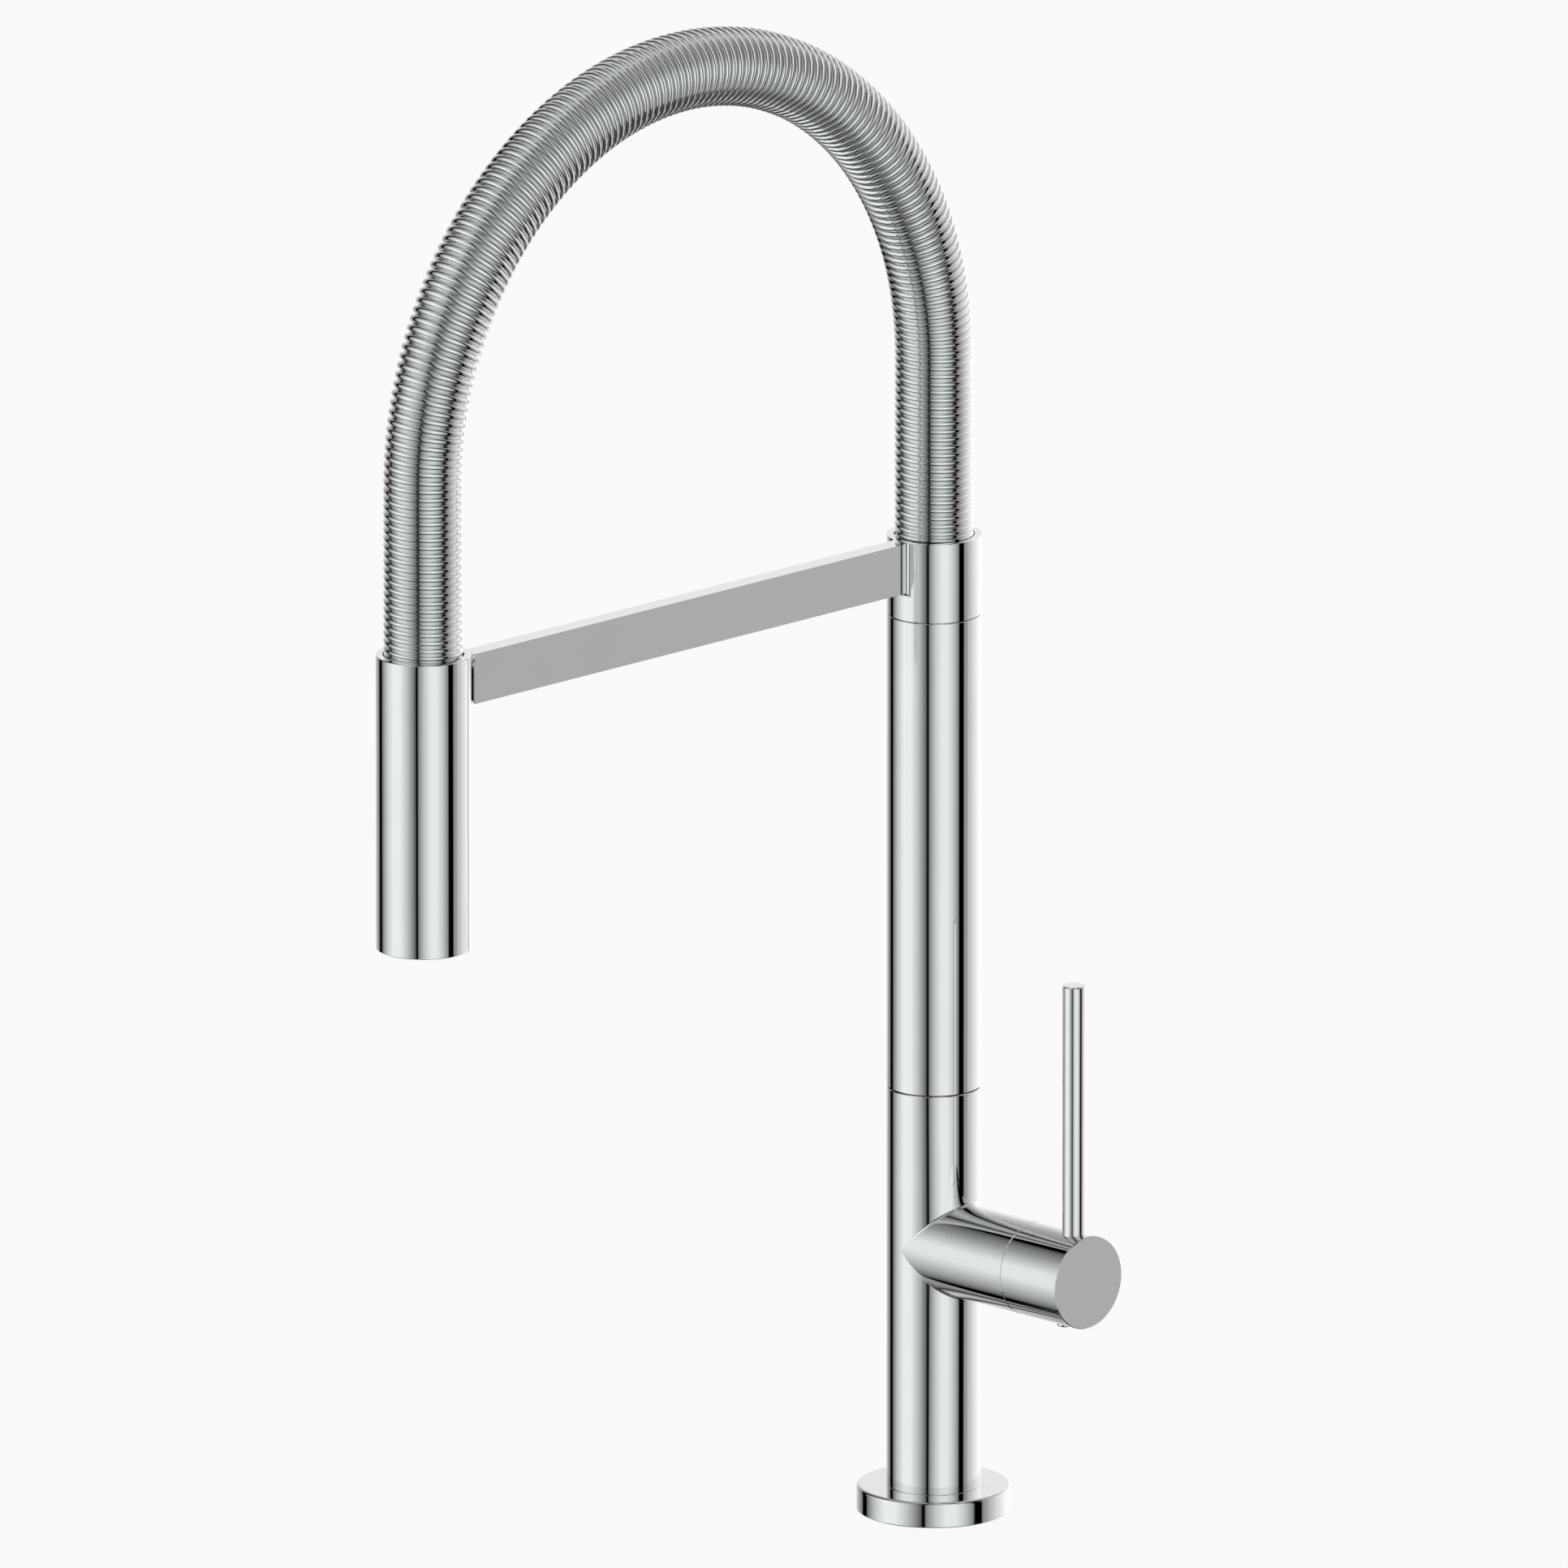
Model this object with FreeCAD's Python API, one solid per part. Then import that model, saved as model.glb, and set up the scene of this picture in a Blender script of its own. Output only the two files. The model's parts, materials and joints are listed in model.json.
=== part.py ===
import FreeCAD, Part
import math
import os

# Pull down kitchen mixer: slim column, side pin lever, docking arm, spring arch and spray head.
# Frame: millimetres, +Z up, origin on the column axis at the deck face.
# The spout reaches along -Y and the lever branch along +X.

V = FreeCAD.Vector
X_AXIS = V(1, 0, 0)
Y_AXIS = V(0, 1, 0)
Z_AXIS = V(0, 0, 1)

# ---- driving dimensions ----
COLUMN_R = 15.0            # column, branch, collar and spray head share one diameter
WALL = 2.0                 # wall of the valve body and collar
SEAM = 0.3                 # width of the visible joints between moving shells
PAST = 1.0                 # how far a cutting tool runs past the face it opens
FIT = 0.05                 # running clearance on a radius
EASE = 0.2                 # chamfer that eases the edges of the visible joints

FLANGE_R = 24.5
FLANGE_H = 8.2
SWIVEL_SEAM_Z = 138.9
COLLAR_BOTTOM = 293.4
COLLAR_TOP = 319.1

BRANCH_Z = 87.3
HANDLE_SEAM_X = 44.35
CAP_END_X = 68.8
PIVOT_X = 32.35            # centre of the handle's tilt, and of its spherical seam
DOME_R = 19.1
CAP_BEVEL_R = 19.3
DOME_HOLE_R = 9.9

LEVER_R = 3.7
LEVER_X = 62.3
LEVER_TOP = 183.3
GRUB_X = 58.2

ARM_HALF_THICK = 3.05
ARM_BOTTOM = 302.9
ARM_END_Y = -207.0
ARM_ROOT_FILLET = 1.5

HEAD_Y = -226.7
HEAD_BOTTOM = 227.1
HEAD_TOP = 322.3
PAD_HALF_WIDTH = 3.6
PAD_HEIGHT = 24.9
PAD_MID_Z = 304.3
PAD_FACE_Y = -207.6
PAD_DRAFT = math.radians(20)        # slope of the pad's sides

SPRING_R = 12.6
SPRING_WIRE = 2.5
ARCH_BASE = 376.6          # height where the straight legs turn into the half circle
HOSE_R = 7.6
HOSE_BORE_R = 4.6

# ---- worked out ----
ARCH_R = -HEAD_Y / 2
BORE_R = COLUMN_R - WALL
INLET_Y = 6.2
INLET_R = 4.5              # tapping radius of M10 x 1
STUD_X = 8.8
STUD_R = 2.5               # tapping radius of M6
NUT_ACROSS_FLATS = 17.0


def rod(radius, low, high, x=0.0, y=0.0):
    """Upright cylinder between two heights."""
    return Part.makeCylinder(radius, high - low, V(x, y, low), Z_AXIS)


def ring(outer, inner, low, high, x=0.0, y=0.0):
    """Upright tube between two heights."""
    return rod(outer, low, high, x, y).cut(rod(inner, low - PAST, high + PAST, x, y))


def branch_rod(radius, start, end, y=0.0, z=0.0):
    """Cylinder parallel to the branch axis; y and z are offsets from that axis."""
    return Part.makeCylinder(radius, end - start, V(start, y, BRANCH_Z + z), X_AXIS)


def branch_ring(outer, inner, start, end, y=0.0, z=0.0):
    """Tube parallel to the branch axis."""
    hole = branch_rod(inner, start - PAST, end + PAST, y, z)
    return branch_rod(outer, start, end, y, z).cut(hole)


def block(x0, x1, y0, y1, z0, z1):
    """Box between two corners."""
    return Part.makeBox(x1 - x0, y1 - y0, z1 - z0, V(x0, y0, z0))


def branch_ball(radius):
    """Sphere about the centre of the handle's tilt."""
    return Part.makeSphere(radius, V(PIVOT_X, 0, BRANCH_Z))


def hexagon(across_flats, low, high, y=0.0):
    """Upright hexagonal prism."""
    corner = across_flats / math.sqrt(3)
    points = [
        V(corner * math.cos(math.radians(60 * i)), y + corner * math.sin(math.radians(60 * i)), low)
        for i in range(7)
    ]
    return Part.Face(Part.makePolygon(points)).extrude(V(0, 0, high - low))


def eased(shape, radius, axis, place):
    """Shape with a small chamfer on one of its outer circular edges."""
    return shape.makeChamfer(EASE, circular_edges(shape, radius, axis, place))


def circular_edges(shape, radius, axis, place):
    """Edges that are circles of one radius centred at one place along an axis."""
    found = []
    for edge in shape.Edges:
        curve = edge.Curve
        if not isinstance(curve, Part.Circle):
            continue
        if abs(curve.Radius - radius) < 0.01 and abs(curve.Center.dot(axis) - place) < 0.01:
            found.append(edge)
    return found


def arch_tube(outer, inner, column_start, head_start):
    """Tube up from the column, over the half circle and down to the spray head."""

    def solid(radius):
        disc = Part.Face(Part.Wire(Part.makeCircle(radius, V(0, 0, ARCH_BASE), Z_AXIS)))
        bend = disc.revolve(V(0, -ARCH_R, ARCH_BASE), X_AXIS, 180)
        legs = [rod(radius, column_start, ARCH_BASE), rod(radius, head_start, ARCH_BASE, 0, HEAD_Y)]
        return bend.fuse(legs).removeSplitter()

    return solid(outer).cut(solid(inner))


# ---- fixed base ----

GASKET = (16.5, 21.0, 1.6)          # inner radius, outer radius, thickness


def base_flange():
    body = ring(FLANGE_R, BORE_R, 0, FLANGE_H)
    body = body.makeFillet(1.0, circular_edges(body, FLANGE_R, Z_AXIS, FLANGE_H))
    body = body.makeChamfer(0.3, circular_edges(body, FLANGE_R, Z_AXIS, 0))
    inner, outer, thick = GASKET
    return body.cut(ring(outer, inner, -PAST, thick))


def flange_gasket():
    inner, outer, thick = GASKET
    return ring(outer, inner, 0, thick)


SCREW_Z = 128.3                     # swivel retaining screw, at the back of the column
DOME_SKIRT_X = 40.5


def valve_body():
    """Lower column, open on the lever side where the branch is brazed on."""
    top = SWIVEL_SEAM_Z - SEAM / 2
    body = eased(ring(COLUMN_R, BORE_R, FLANGE_H, top), COLUMN_R, Z_AXIS, top)
    body = eased(body, COLUMN_R, Z_AXIS, FLANGE_H)
    body = body.cut(branch_rod(BORE_R, 0, CAP_END_X))
    return body.cut(Part.makeCylinder(2.5, COLUMN_R, V(0, 5, SCREW_Z), Y_AXIS))


def side_branch():
    """Branch tube, saddle cut to sit on the column, with a rounded lip under the handle."""
    straight = branch_rod(COLUMN_R, 0, PIVOT_X)
    rounded = branch_rod(COLUMN_R, PIVOT_X, CAP_END_X).common(branch_ball(DOME_R))
    body = straight.fuse(rounded).removeSplitter()
    body = eased(body, COLUMN_R, X_AXIS, PIVOT_X + math.sqrt(DOME_R ** 2 - COLUMN_R ** 2))
    body = body.cut(rod(COLUMN_R, FLANGE_H, SWIVEL_SEAM_Z))
    return body.cut(branch_rod(BORE_R, 0, CAP_END_X))


MANIFOLD_TOP = 22.0
FEED_R = 3.0
FEED_BORE_R = 2.2
FEED_SOCKET = 4.0                   # depth of the feed tubes' sockets
INLET_LENGTH = 12.0
MANIFOLD_BASE = 0.0
SEAL_Z = 17.5                       # seal ring groove in the manifold's side
SEAL_GROOVE_R = 12.0
STUD_DEPTH = 14.0


def inlet_manifold():
    body = rod(BORE_R - FIT, MANIFOLD_BASE, MANIFOLD_TOP)
    for y in (-INLET_Y, INLET_Y):
        body = body.cut(rod(INLET_R, MANIFOLD_BASE - PAST, MANIFOLD_BASE + INLET_LENGTH, 0, y))
        body = body.cut(rod(FEED_BORE_R, MANIFOLD_BASE, MANIFOLD_TOP, 0, y))
        body = body.cut(rod(FEED_R, MANIFOLD_TOP - FEED_SOCKET, MANIFOLD_TOP + PAST, 0, y))
    for x in (-STUD_X, STUD_X):
        body = body.cut(rod(STUD_R, MANIFOLD_BASE - PAST, MANIFOLD_BASE + STUD_DEPTH, x))
    return body.cut(ring(COLUMN_R, SEAL_GROOVE_R, SEAL_Z - 0.9, SEAL_Z + 0.9))


def manifold_seal():
    return ring(BORE_R, SEAL_GROOVE_R, SEAL_Z - 0.85, SEAL_Z + 0.85)


SEAT_BOTTOM = 74.0
SEAT_TOP = 100.5
SEAT_FACE_X = 8.0
PORT_Z = -3.8                       # inlet ports, from the branch axis
OUTLET_Z = 5.7                      # outlet port, from the branch axis
OUTLET_R = 2.6


def feed_tube(y):
    return ring(FEED_R, FEED_BORE_R, MANIFOLD_TOP - FEED_SOCKET, SEAT_BOTTOM + FEED_SOCKET, 0, y)


def port_holes(start, end):
    """Three drillings along the branch axis: hot, cold and outlet."""
    inlets = [branch_rod(FEED_BORE_R, start, end, y, PORT_Z) for y in (-INLET_Y, INLET_Y)]
    return inlets + [branch_rod(OUTLET_R, start, end, 0, OUTLET_Z)]


def cartridge_seat():
    body = rod(BORE_R - FIT, SEAT_BOTTOM, SEAT_TOP)
    body = body.cut(block(SEAT_FACE_X, COLUMN_R, -COLUMN_R, COLUMN_R, SEAT_BOTTOM - PAST, SEAT_TOP + PAST))
    for y in (-INLET_Y, INLET_Y):
        body = body.cut(rod(FEED_R, SEAT_BOTTOM - PAST, SEAT_BOTTOM + FEED_SOCKET, 0, y))
        body = body.cut(rod(FEED_BORE_R, SEAT_BOTTOM, BRANCH_Z + PORT_Z, 0, y))
    for hole in port_holes(0, SEAT_FACE_X + PAST):
        body = body.cut(hole)
    return body.cut(rod(OUTLET_R, BRANCH_Z + OUTLET_Z, SEAT_TOP + PAST))


# ---- cartridge ----

BASE_START = 9.2
DISC_START = 13.0
SLIDE_START = 16.0
CARRIER_START = 19.0
CARRIER_END = 25.0
ROTOR_START = 25.3
HOUSING_END = 36.5
NUT_END = 40.3
ROTOR_END = 39.5
DISC_TRAVEL = 3.0                   # travel of the moving disc over the full tilt


def cartridge_seals():
    places = [(-INLET_Y, PORT_Z), (INLET_Y, PORT_Z), (0, OUTLET_Z)]
    return Part.makeCompound([branch_ring(3.6, 2.7, SEAT_FACE_X, BASE_START, y, z) for y, z in places])


def ported_disc(radius, start, end):
    disc = branch_rod(radius, start, end)
    for hole in port_holes(start - PAST, end + PAST):
        disc = disc.cut(hole)
    return disc


def cartridge_base():
    return ported_disc(12.2, BASE_START, DISC_START)


def fixed_disc():
    return ported_disc(9.9, DISC_START, SLIDE_START)


def cartridge_housing():
    body = branch_rod(12.4, DISC_START, HOUSING_END)
    body = body.cut(branch_rod(10.1, DISC_START - PAST, 33.5))
    return body.cut(branch_rod(8.3, DISC_START, HOUSING_END + PAST))


def cartridge_nut():
    body = branch_ring(BORE_R - FIT, DOME_HOLE_R, HOUSING_END, NUT_END)
    slots = [
        block(NUT_END - 1.6, NUT_END + PAST, -COLUMN_R, COLUMN_R, BRANCH_Z - 1.5, BRANCH_Z + 1.5),
        block(NUT_END - 1.6, NUT_END + PAST, -1.5, 1.5, BRANCH_Z - COLUMN_R, BRANCH_Z + COLUMN_R),
    ]
    for slot in slots:
        body = body.cut(slot)
    return body


def branch_dome():
    body = branch_ring(BORE_R - FIT, DOME_HOLE_R, DOME_SKIRT_X, CAP_END_X).common(branch_ball(DOME_R))
    inside = branch_rod(11.9, DOME_SKIRT_X - PAST, CAP_END_X).common(branch_ball(DOME_R - 1.5))
    return body.cut(inside)


def moving_disc():
    low = -DISC_TRAVEL / 2 - 0.15
    disc = branch_rod(8.0, SLIDE_START + FIT, CARRIER_START, 0, low)
    recess = branch_rod(4.2, SLIDE_START - PAST, SLIDE_START + 1.6, 0, low + 1.0)
    return disc.cut(recess)


PIVOT_TO_TIP = 8.0                  # from the tilt axis to the centre of the stem's finger tip
TIP_R = 2.0


def disc_carrier():
    low = -DISC_TRAVEL / 2 - 0.15
    body = branch_rod(8.0, CARRIER_START, CARRIER_END, 0, low)
    gap = TIP_R + 0.15
    start = PIVOT_X - PIVOT_TO_TIP - TIP_R - 0.3
    pocket = block(start, CARRIER_END + PAST, -gap, gap, BRANCH_Z - gap, BRANCH_Z + gap)
    return body.cut(pocket)


STEM_R = 2.7
PIVOT_PIN_R = 1.25


def cartridge_rotor():
    body = branch_rod(9.8, ROTOR_START, 33.2).fuse(branch_rod(8.1, ROTOR_START, ROTOR_END))
    half = STEM_R + 0.3
    inner = block(ROTOR_START - PAST, PIVOT_X, -half, half, BRANCH_Z - 3.2, BRANCH_Z + 6.6)
    outer = block(PIVOT_X, ROTOR_END + PAST, -half, half, BRANCH_Z - 10, BRANCH_Z + 3.2)
    return body.removeSplitter().cut(inner).cut(outer).cut(pivot_pin_rod(PIVOT_PIN_R, 10))


def pivot_pin_rod(radius, half_length):
    """Cylinder across the branch at the tilt axis."""
    return Part.makeCylinder(radius, 2 * half_length, V(PIVOT_X, -half_length, BRANCH_Z), Y_AXIS)


def stem_pivot_pin():
    return pivot_pin_rod(PIVOT_PIN_R, 7.2)


# ---- handle ----

STEM_END = 61.0
HUB_START = 52.2
HUB_END = 66.4
HUB_R = 12.5
CAP_BORE_R = 12.55
PIN_SHOULDER_Z = 99.0
PIN_THREAD_R = 2.5


def lever_stem():
    tip_x = PIVOT_X - PIVOT_TO_TIP
    shank = branch_rod(STEM_R, 26.9, STEM_END)
    neck = branch_rod(1.4, tip_x, 27.5)
    tip = Part.makeSphere(TIP_R, V(tip_x, 0, BRANCH_Z))
    return shank.fuse([neck, tip]).cut(pivot_pin_rod(PIVOT_PIN_R + FIT, 10))


def handle_hub():
    body = branch_rod(HUB_R, HUB_START, HUB_END)
    body = body.cut(branch_rod(STEM_R, HUB_START - PAST, STEM_END))
    body = body.cut(rod(2.0, BRANCH_Z - COLUMN_R, BRANCH_Z, GRUB_X))
    body = body.cut(rod(PIN_THREAD_R, 92.5, PIN_SHOULDER_Z, LEVER_X))
    return body.cut(rod(LEVER_R, PIN_SHOULDER_Z, BRANCH_Z + COLUMN_R, LEVER_X))


PLUG_R = 2.4


def handle_cap():
    body = branch_rod(COLUMN_R, HANDLE_SEAM_X - PAST, CAP_END_X)
    body = body.makeChamfer(0.25, circular_edges(body, COLUMN_R, X_AXIS, CAP_END_X))
    body = body.cut(branch_ball(CAP_BEVEL_R))
    body = eased(body, COLUMN_R, X_AXIS, PIVOT_X + math.sqrt(CAP_BEVEL_R ** 2 - COLUMN_R ** 2))
    body = body.cut(branch_rod(CAP_BORE_R, HANDLE_SEAM_X - 2 * PAST, HUB_END))
    body = body.cut(rod(LEVER_R, BRANCH_Z, BRANCH_Z + COLUMN_R + PAST, LEVER_X))
    return body.cut(rod(PLUG_R, BRANCH_Z - COLUMN_R - PAST, BRANCH_Z, GRUB_X))


def lever_pin():
    body = rod(LEVER_R, PIN_SHOULDER_Z, LEVER_TOP, LEVER_X)
    body = body.makeChamfer(0.35, circular_edges(body, LEVER_R, Z_AXIS, LEVER_TOP))
    return body.fuse(rod(PIN_THREAD_R, 92.5, PIN_SHOULDER_Z, LEVER_X))


def grub_screw():
    top = BRANCH_Z - STEM_R
    socket = hexagon(2.0, top - 8 - PAST, top - 5).translated(V(GRUB_X, 0, 0))
    return rod(1.95, top - 8, top, GRUB_X).cut(socket)


def screw_plug():
    low = BRANCH_Z - COLUMN_R - 1.2
    body = rod(PLUG_R, low, low + 3.4, GRUB_X)
    return body.makeFillet(0.6, circular_edges(body, PLUG_R, Z_AXIS, low))


# ---- swivelling column ----

SPIGOT_BOTTOM = 110.0
SPIGOT_TOP = 152.0
TUBE_BORE_R = 13.5
SPIGOT_R = BORE_R - 0.07
RISER_R = 5.0
RISER_BORE_R = 4.0
RISER_SOCKET = 6.0
RISER_TOP = 297.0
O_RING_GROOVE_R = 11.2
SLIP_GROOVE_R = 11.8
RING_GROOVES = (114.5, 120.5)
SLIP_RING = (133.0, 137.5)


def swivel_spigot():
    body = rod(SPIGOT_R, SPIGOT_BOTTOM, SWIVEL_SEAM_Z + SEAM)
    body = body.fuse(rod(TUBE_BORE_R, SWIVEL_SEAM_Z + SEAM, SPIGOT_TOP))
    body = body.cut(rod(RISER_BORE_R, SPIGOT_BOTTOM - PAST, SPIGOT_TOP))
    body = body.cut(rod(RISER_R, SPIGOT_TOP - RISER_SOCKET, SPIGOT_TOP + PAST))
    for z in RING_GROOVES:
        body = body.cut(ring(COLUMN_R, O_RING_GROOVE_R, z - 1.1, z + 1.1))
    body = body.cut(ring(COLUMN_R, O_RING_GROOVE_R, SCREW_Z - 2.3, SCREW_Z + 2.3))
    return body.cut(ring(COLUMN_R, SLIP_GROOVE_R, *SLIP_RING))


def spigot_o_rings():
    rings = [Part.makeTorus(12.08, 0.85, V(0, 0, z), Z_AXIS) for z in RING_GROOVES]
    return Part.makeCompound(rings)


def slip_ring():
    return ring(BORE_R - FIT, SLIP_GROOVE_R, *SLIP_RING)


def swivel_retaining_screw():
    thread = Part.makeCylinder(2.5, 1.7, V(0, BORE_R + 0.05, SCREW_Z), Y_AXIS)
    point = Part.makeCylinder(1.9, 2.0, V(0, 11.5, SCREW_Z), Y_AXIS)
    socket = hexagon(2.5, 0, 2 * PAST)
    socket.rotate(V(0, 0, 0), X_AXIS, -90)
    return thread.fuse(point).cut(socket.translated(V(0, 13.6, SCREW_Z)))


def swivel_tube():
    low, high = SWIVEL_SEAM_Z + SEAM / 2, COLLAR_BOTTOM - SEAM / 4
    tube = ring(COLUMN_R, TUBE_BORE_R, low, high)
    return eased(eased(tube, COLUMN_R, Z_AXIS, low), COLUMN_R, Z_AXIS, high)


def riser_pipe():
    return ring(RISER_R, RISER_BORE_R, SPIGOT_TOP - RISER_SOCKET, RISER_TOP)


# ---- collar, arm and the lower end of the hose ----

SPRING_SEAT_Z = 316.2
ARM_SCREW_Z = 309.0
SPRING_BORE_R = 12.8
NUT_ROOM_R = 11.6                   # room for the hose nut inside the collar
NIPPLE_R = 7.9
NIPPLE_BOTTOM = 292.0
NIPPLE_SHOULDER = 305.0
NIPPLE_TOP = 311.0


def holder_collar():
    low = COLLAR_BOTTOM + SEAM / 4
    body = eased(rod(COLUMN_R, low, COLLAR_TOP), COLUMN_R, Z_AXIS, low)
    body = body.fuse(rod(TUBE_BORE_R, COLLAR_BOTTOM - 8, COLLAR_TOP - PAST)).removeSplitter()
    body = body.cut(rod(NIPPLE_R, COLLAR_BOTTOM - 9, COLLAR_TOP))
    body = body.cut(rod(NUT_ROOM_R, NIPPLE_SHOULDER, COLLAR_TOP))
    body = body.cut(rod(SPRING_BORE_R, SPRING_SEAT_Z, COLLAR_TOP + PAST))
    return body.cut(arm_screw_shape())


def arm_screw_shape():
    """Countersunk screw from inside the collar into the root of the arm."""
    head = Part.makeCone(2.9, 1.5, 1.6, V(0, -11.9, ARM_SCREW_Z), V(0, -1, 0))
    shank = Part.makeCylinder(1.5, 12, V(0, -11.9, ARM_SCREW_Z), V(0, -1, 0))
    return head.fuse(shank)


def arm_screw():
    socket = hexagon(2.0, 0, 2 * PAST)
    socket.rotate(V(0, 0, 0), X_AXIS, 90)
    return arm_screw_shape().cut(socket.translated(V(0, -11, ARM_SCREW_Z)))


MAGNET = (1.8, 5.0, 5.5, 311.0)     # half width, depth, half height, middle height


def magnet_block(depth):
    half_width, _, half_height, mid = MAGNET
    return block(-half_width, half_width, ARM_END_Y, ARM_END_Y + depth, mid - half_height, mid + half_height)


def docking_arm():
    bar = block(-ARM_HALF_THICK, ARM_HALF_THICK, ARM_END_Y, 0, ARM_BOTTOM, COLLAR_TOP)
    collar = rod(COLUMN_R, ARM_BOTTOM - 10, COLLAR_TOP)
    joined = bar.fuse(collar).removeSplitter()
    root = []
    for edge in joined.Edges:
        middle = edge.CenterOfMass
        on_collar = abs(math.hypot(middle.x, middle.y) - COLUMN_R) < 0.3
        if on_collar and middle.y < 0 and abs(middle.x) < 4 and middle.z < COLLAR_TOP - 1:
            root.append(edge)
    joined = joined.makeFillet(ARM_ROOT_FILLET, root)
    arm = joined.cut(rod(COLUMN_R, ARM_BOTTOM - 11, COLLAR_TOP + PAST))
    return arm.cut(magnet_block(MAGNET[1])).cut(arm_screw_shape())


def dock_magnet():
    return magnet_block(MAGNET[1])


NIPPLE_BORE_R = 3.5
THREAD_R = 6.6
WASHER_R = 5.8
WASHER_BORE_R = 3.6
FERRULE_LOW_Z = 312.5
FERRULE_UP_Z = 297.6
FERRULE_NECK_R = 4.6
SLEEVE_R = 8.6
HOSE_INSET = 4.5                    # from the ferrule's flange to the end of the hose


def hose_nipple():
    body = rod(NIPPLE_R, NIPPLE_BOTTOM, NIPPLE_SHOULDER).fuse(rod(THREAD_R, NIPPLE_SHOULDER, NIPPLE_TOP))
    body = body.cut(rod(RISER_R, NIPPLE_BOTTOM - PAST, RISER_TOP))
    return body.cut(rod(NIPPLE_BORE_R, RISER_TOP - PAST, NIPPLE_TOP + PAST))


def hose_washer_lower():
    return ring(WASHER_R, WASHER_BORE_R, NIPPLE_TOP, FERRULE_LOW_Z)


def hose_nut(low, high, lip, shift_y):
    """Hexagonal union nut: threaded bore, then a lip that holds the ferrule's flange."""
    body = hexagon(NUT_ACROSS_FLATS, low, high, shift_y)
    bore_low, bore_high = (low - PAST, high - lip)
    body = body.cut(rod(THREAD_R, bore_low, bore_high, 0, shift_y))
    return body.cut(rod(FERRULE_NECK_R + 2 * FIT, low, high + PAST, 0, shift_y))


def hose_nut_lower():
    return hose_nut(NIPPLE_SHOULDER, NIPPLE_SHOULDER + 11, 2, 0)


def ferrule(flange_z, sleeve_top, shift_y):
    """Crimped hose end: flange, neck, outer sleeve and the insert inside the hose."""
    flange = rod(THREAD_R - 0.1, flange_z, flange_z + 1.4, 0, shift_y)
    hose_end = flange_z + HOSE_INSET
    neck = rod(FERRULE_NECK_R, flange_z, hose_end, 0, shift_y)
    sleeve = rod(SLEEVE_R, hose_end - PAST, sleeve_top, 0, shift_y)
    room = ring(HOSE_R, HOSE_BORE_R, hose_end, sleeve_top + PAST, 0, shift_y)
    water = rod(3.2, flange_z - PAST, sleeve_top + PAST, 0, shift_y)
    return flange.fuse([neck, sleeve]).removeSplitter().cut(room).cut(water)


def hose_ferrule_lower():
    return ferrule(FERRULE_LOW_Z, 336, 0)


def spring_seat(low, shift_y):
    """Ring that the end coil bears on, with a short spigot inside the coil."""
    foot = rod(SPRING_BORE_R - FIT, low, low + 2, 0, shift_y)
    spigot = rod(SPRING_R - SPRING_WIRE - 2 * FIT, low, low + 5.8, 0, shift_y)
    return foot.fuse(spigot).removeSplitter().cut(rod(9.0, low - PAST, low + 7, 0, shift_y))


def spring_seat_lower():
    return spring_seat(SPRING_SEAT_Z, 0)


UPPER_SEAT_Z = 319.4


def coil_spring():
    return arch_tube(SPRING_R, SPRING_R - SPRING_WIRE, SPRING_SEAT_Z + 2, UPPER_SEAT_Z + 2)


def inner_hose():
    return arch_tube(HOSE_R, HOSE_BORE_R, FERRULE_LOW_Z + HOSE_INSET, FERRULE_UP_Z + HOSE_INSET)


# ---- hose end at the spray head ----


def hose_ferrule_upper():
    return ferrule(FERRULE_UP_Z, 324, HEAD_Y)


def spring_seat_upper():
    return spring_seat(UPPER_SEAT_Z, HEAD_Y)


# ---- spray head ----

SHELL_BORE_R = 13.3
CORE_BOTTOM = 243.0
CORE_TOP = 286.0
CHECK_BOTTOM = 262.0
AERATOR_R = 11.5
AERATOR_BORE_R = 10.2
NECK_TOP = 296.0                    # top of the core's threaded neck
SHELL_SHOULDER = 302.0
AERATOR_FLANGE_TOP = 232.0
AERATOR_TOP = 258.0
VALVE_R = 7.0
VALVE_TOP = 282.5
WATER_R = 3.6


def head_rod(radius, low, high, x=0.0, y=0.0):
    """Upright cylinder placed from the spray head's axis."""
    return rod(radius, low, high, x, HEAD_Y + y)


def head_ring(outer, inner, low, high):
    return ring(outer, inner, low, high, 0, HEAD_Y)


def head_shell():
    body = head_rod(COLUMN_R, HEAD_BOTTOM, HEAD_TOP)
    ends = circular_edges(body, COLUMN_R, Z_AXIS, HEAD_BOTTOM) + circular_edges(body, COLUMN_R, Z_AXIS, HEAD_TOP)
    body = body.makeChamfer(0.2, ends)
    body = body.cut(head_rod(SHELL_BORE_R, HEAD_BOTTOM - PAST, SHELL_SHOULDER))
    return body.cut(head_rod(SPRING_BORE_R + FIT, SHELL_SHOULDER - PAST, HEAD_TOP + PAST))


def pad_outline(y):
    """Outline of the tapered pad at one depth: two straight sides and two half circles."""
    root_y = HEAD_Y + math.sqrt(COLUMN_R ** 2 - PAD_HALF_WIDTH ** 2)
    half = PAD_HALF_WIDTH + (root_y - y) * math.tan(PAD_DRAFT)
    reach = PAD_HEIGHT / 2 - PAD_HALF_WIDTH
    low, high = PAD_MID_Z - reach, PAD_MID_Z + reach
    return Part.Wire([
        Part.makeLine(V(half, y, low), V(half, y, high)),
        Part.Arc(V(half, y, high), V(0, y, high + half), V(-half, y, high)).toShape(),
        Part.makeLine(V(-half, y, high), V(-half, y, low)),
        Part.Arc(V(-half, y, low), V(0, y, low - half), V(half, y, low)).toShape(),
    ])


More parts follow.
